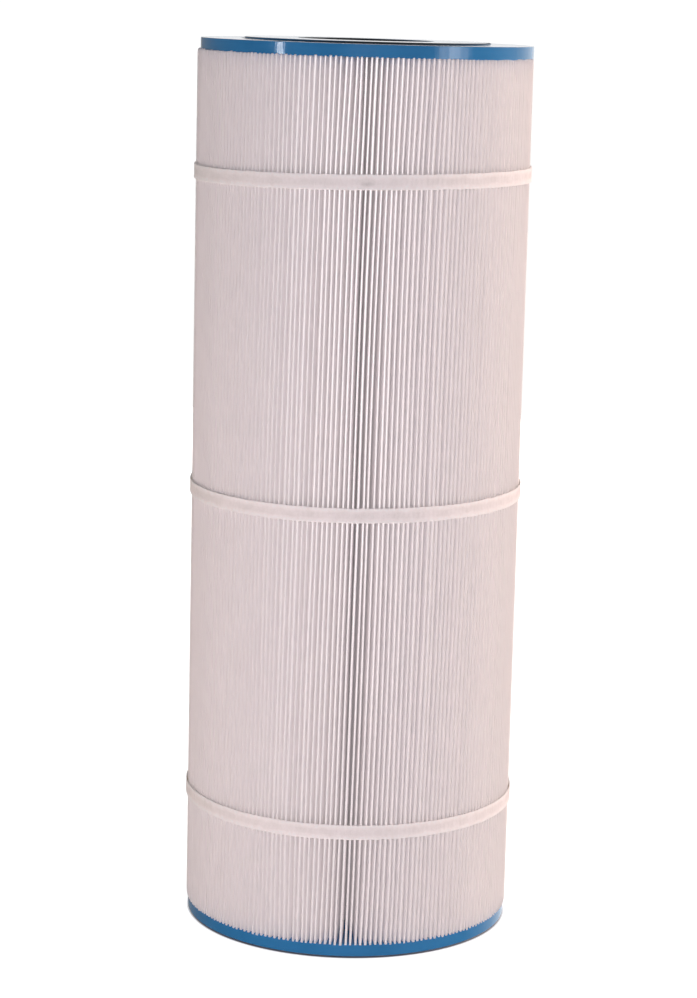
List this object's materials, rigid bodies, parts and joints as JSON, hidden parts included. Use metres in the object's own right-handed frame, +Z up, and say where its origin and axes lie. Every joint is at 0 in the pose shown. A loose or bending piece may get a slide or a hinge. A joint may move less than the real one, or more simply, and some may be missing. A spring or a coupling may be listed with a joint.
{
  "type": "pleated filter cartridge",
  "caption": "Tall round pleated pool and spa filter cartridge with blue open end caps, white pleated media, retaining bands and a perforated centre core.",
  "frame": {"origin": "centre of the bottom end cap's bearing face", "axes": "+Z up the centre bore, towards the top end cap; +Y towards the back, where the media's seam is; +X to the right seen from the front"},
  "size_m": [0.227, 0.227, 0.6033],
  "materials": {
    "end_cap_plastisol": "glossy",
    "media_fabric": "matte",
    "band_fabric": "matte",
    "hot_melt": "satin",
    "core_plastic": "satin"
  },
  "bodies": {
    "root": {"bottom_end_cap": "end_cap_plastisol", "top_end_cap": "end_cap_plastisol", "pleated_media": "media_fabric", "seam_adhesive": "hot_melt", "lower_band": "band_fabric", "lower_band_adhesive": "hot_melt", "middle_band": "band_fabric", "middle_band_adhesive": "hot_melt", "upper_band": "band_fabric", "upper_band_adhesive": "hot_melt", "core_section_1": "core_plastic", "core_section_2": "core_plastic", "core_section_3": "core_plastic", "core_section_4": "core_plastic", "core_section_5": "core_plastic"}
  },
  "joints": []
}
